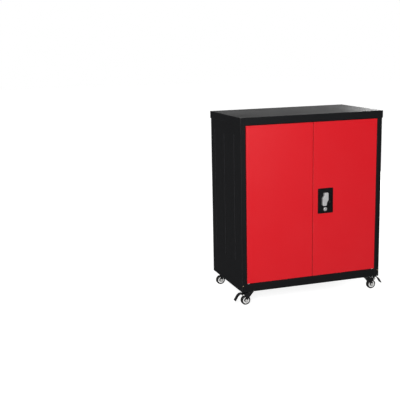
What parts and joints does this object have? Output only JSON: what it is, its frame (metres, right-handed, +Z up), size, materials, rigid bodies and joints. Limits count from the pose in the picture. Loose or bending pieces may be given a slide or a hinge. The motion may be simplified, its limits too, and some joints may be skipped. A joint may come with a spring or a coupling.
{
  "type": "rolling tool cabinet",
  "caption": "Black steel floor cabinet on swivel casters, with inset red hinged doors, a turn lever lock with throw rods, and shelves inside.",
  "frame": {"origin": "on the floor, below the centre of the whole object's box", "axes": "+X to the right seen from the front, -Y towards the front with the doors, +Z up"},
  "size_m": [0.8654, 0.458, 0.981],
  "materials": {
    "black_powder_coat": "fine textured black powder coat, semi-matt",
    "red_powder_coat": "smooth red powder coat, satin",
    "zinc_plate": "bright zinc plate",
    "bronzed_screw": "yellow passivated steel",
    "white_nylon": "natural nylon",
    "catch_plastic": "black moulded plastic",
    "lock_black": "fine grained black moulding",
    "lever_satin": "satin nickel on die-cast zinc",
    "lock_chrome": "bright nickel",
    "caster_black": "black coated pressed steel",
    "pedal_black": "black moulded nylon",
    "bolt_bright": "bright plated steel",
    "hub_bright": "bright metallic moulded hub",
    "tyre_black": "black tread"
  },
  "bodies": {
    "cabinet": {"left_side_panel": "black_powder_coat", "right_side_panel": "black_powder_coat", "back_panel": "black_powder_coat", "top_cap": "black_powder_coat", "bottom_panel": "black_powder_coat", "head_rail": "black_powder_coat", "left_caster_bearer": "black_powder_coat", "right_caster_bearer": "black_powder_coat", "front_left_shelf_strip": "black_powder_coat", "front_right_shelf_strip": "black_powder_coat", "rear_left_shelf_strip": "black_powder_coat", "rear_right_shelf_strip": "black_powder_coat", "lower_shelf": "black_powder_coat", "upper_shelf": "black_powder_coat", "shelf_clips": "zinc_plate", "carcass_screws": "bronzed_screw", "pivot_washers": "white_nylon", "left_magnet_catch": "catch_plastic", "right_magnet_catch": "catch_plastic", "caster_stems": "zinc_plate", "caster_nuts": "zinc_plate"},
    "left_door": {"left_door_panel": "red_powder_coat", "left_door_stiffener": "red_powder_coat", "left_hinge_brackets": "zinc_plate", "left_pivot_pins": "zinc_plate", "left_strike": "zinc_plate"},
    "right_door": {"right_door_panel": "red_powder_coat", "right_door_stiffener": "red_powder_coat", "right_hinge_brackets": "zinc_plate", "right_pivot_pins": "zinc_plate", "right_strike": "zinc_plate", "lock_escutcheon": "lock_black", "lock_case": "zinc_plate", "lock_screws": "zinc_plate", "rod_guides": "zinc_plate", "lock_barrel": "lock_chrome"},
    "lever": {"lock_lever": "lever_satin", "lock_driver": "zinc_plate"},
    "key": {"key_plug": "lock_chrome"},
    "upper_lock_rod": {"upper_rod": "zinc_plate"},
    "lower_lock_rod": {"lower_rod": "zinc_plate"},
    "front_left_caster": {"front_left_fork": "caster_black", "front_left_bolts": "bolt_bright"},
    "front_left_wheel": {"front_left_tyre": "tyre_black", "front_left_hub": "hub_bright"},
    "front_left_pedal": {"front_left_brake_pedal": "pedal_black"},
    "front_right_caster": {"front_right_fork": "caster_black", "front_right_bolts": "bolt_bright"},
    "front_right_wheel": {"front_right_tyre": "tyre_black", "front_right_hub": "hub_bright"},
    "front_right_pedal": {"front_right_brake_pedal": "pedal_black"},
    "rear_left_caster": {"rear_left_fork": "caster_black", "rear_left_bolts": "bolt_bright"},
    "rear_left_wheel": {"rear_left_tyre": "tyre_black", "rear_left_hub": "hub_bright"},
    "rear_right_caster": {"rear_right_fork": "caster_black", "rear_right_bolts": "bolt_bright"},
    "rear_right_wheel": {"rear_right_tyre": "tyre_black", "rear_right_hub": "hub_bright"}
  },
  "joints": [
    {"name": "left_door_hinge", "type": "hinge", "parent": "cabinet", "child": "left_door", "pos_m": [-0.3625, -0.2155, 0.576], "axis": [0, 0, -1], "range_deg": [0, 105]},
    {"name": "right_door_hinge", "type": "hinge", "parent": "cabinet", "child": "right_door", "pos_m": [0.3625, -0.2155, 0.576], "axis": [0, 0, 1], "range_deg": [0, 105]},
    {"name": "lever_turn", "type": "hinge", "parent": "right_door", "child": "lever", "pos_m": [0.072, -0.224, 0.5315], "axis": [0, -1, 0], "range_deg": [0, 90]},
    {"name": "key_turn", "type": "hinge", "parent": "right_door", "child": "key", "pos_m": [0.072, -0.224, 0.479], "axis": [0, -1, 0], "range_deg": [0, 90]},
    {"name": "upper_rod_slide", "type": "slide", "parent": "right_door", "child": "upper_lock_rod", "axis": [0, 0, 1], "range_m": [0, 0.017]},
    {"name": "lower_rod_slide", "type": "slide", "parent": "right_door", "child": "lower_lock_rod", "axis": [0, 0, -1], "range_m": [0, 0.017]},
    {"name": "front_left_swivel", "type": "hinge", "parent": "cabinet", "child": "front_left_caster", "pos_m": [-0.344, -0.192, 0.071], "axis": [0, 0, 1], "continuous": true},
    {"name": "front_left_wheel_spin", "type": "hinge", "parent": "front_left_caster", "child": "front_left_wheel", "pos_m": [-0.371, -0.192, 0.025], "axis": [0, 1, 0], "continuous": true},
    {"name": "front_left_pedal_lift", "type": "hinge", "parent": "front_left_caster", "child": "front_left_pedal", "pos_m": [-0.386, -0.192, 0.056], "axis": [0, 1, 0], "range_deg": [0, 25]},
    {"name": "front_right_swivel", "type": "hinge", "parent": "cabinet", "child": "front_right_caster", "pos_m": [0.344, -0.192, 0.071], "axis": [0, 0, 1], "continuous": true},
    {"name": "front_right_wheel_spin", "type": "hinge", "parent": "front_right_caster", "child": "front_right_wheel", "pos_m": [0.371, -0.192, 0.025], "axis": [0, 1, 0], "continuous": true},
    {"name": "front_right_pedal_lift", "type": "hinge", "parent": "front_right_caster", "child": "front_right_pedal", "pos_m": [0.386, -0.192, 0.056], "axis": [0, -1, 0], "range_deg": [0, 25]},
    {"name": "rear_left_swivel", "type": "hinge", "parent": "cabinet", "child": "rear_left_caster", "pos_m": [-0.344, 0.194, 0.071], "axis": [0, 0, 1], "continuous": true},
    {"name": "rear_left_wheel_spin", "type": "hinge", "parent": "rear_left_caster", "child": "rear_left_wheel", "pos_m": [-0.371, 0.194, 0.025], "axis": [0, 1, 0], "continuous": true},
    {"name": "rear_right_swivel", "type": "hinge", "parent": "cabinet", "child": "rear_right_caster", "pos_m": [0.344, 0.194, 0.071], "axis": [0, 0, 1], "continuous": true},
    {"name": "rear_right_wheel_spin", "type": "hinge", "parent": "rear_right_caster", "child": "rear_right_wheel", "pos_m": [0.371, 0.194, 0.025], "axis": [0, 1, 0], "continuous": true}
  ],
  "couplings": [
    {"joint": "upper_rod_slide", "follows": "lever_turn", "m_per_rad": 0.010804},
    {"joint": "lower_rod_slide", "follows": "lever_turn", "m_per_rad": 0.010804}
  ]
}
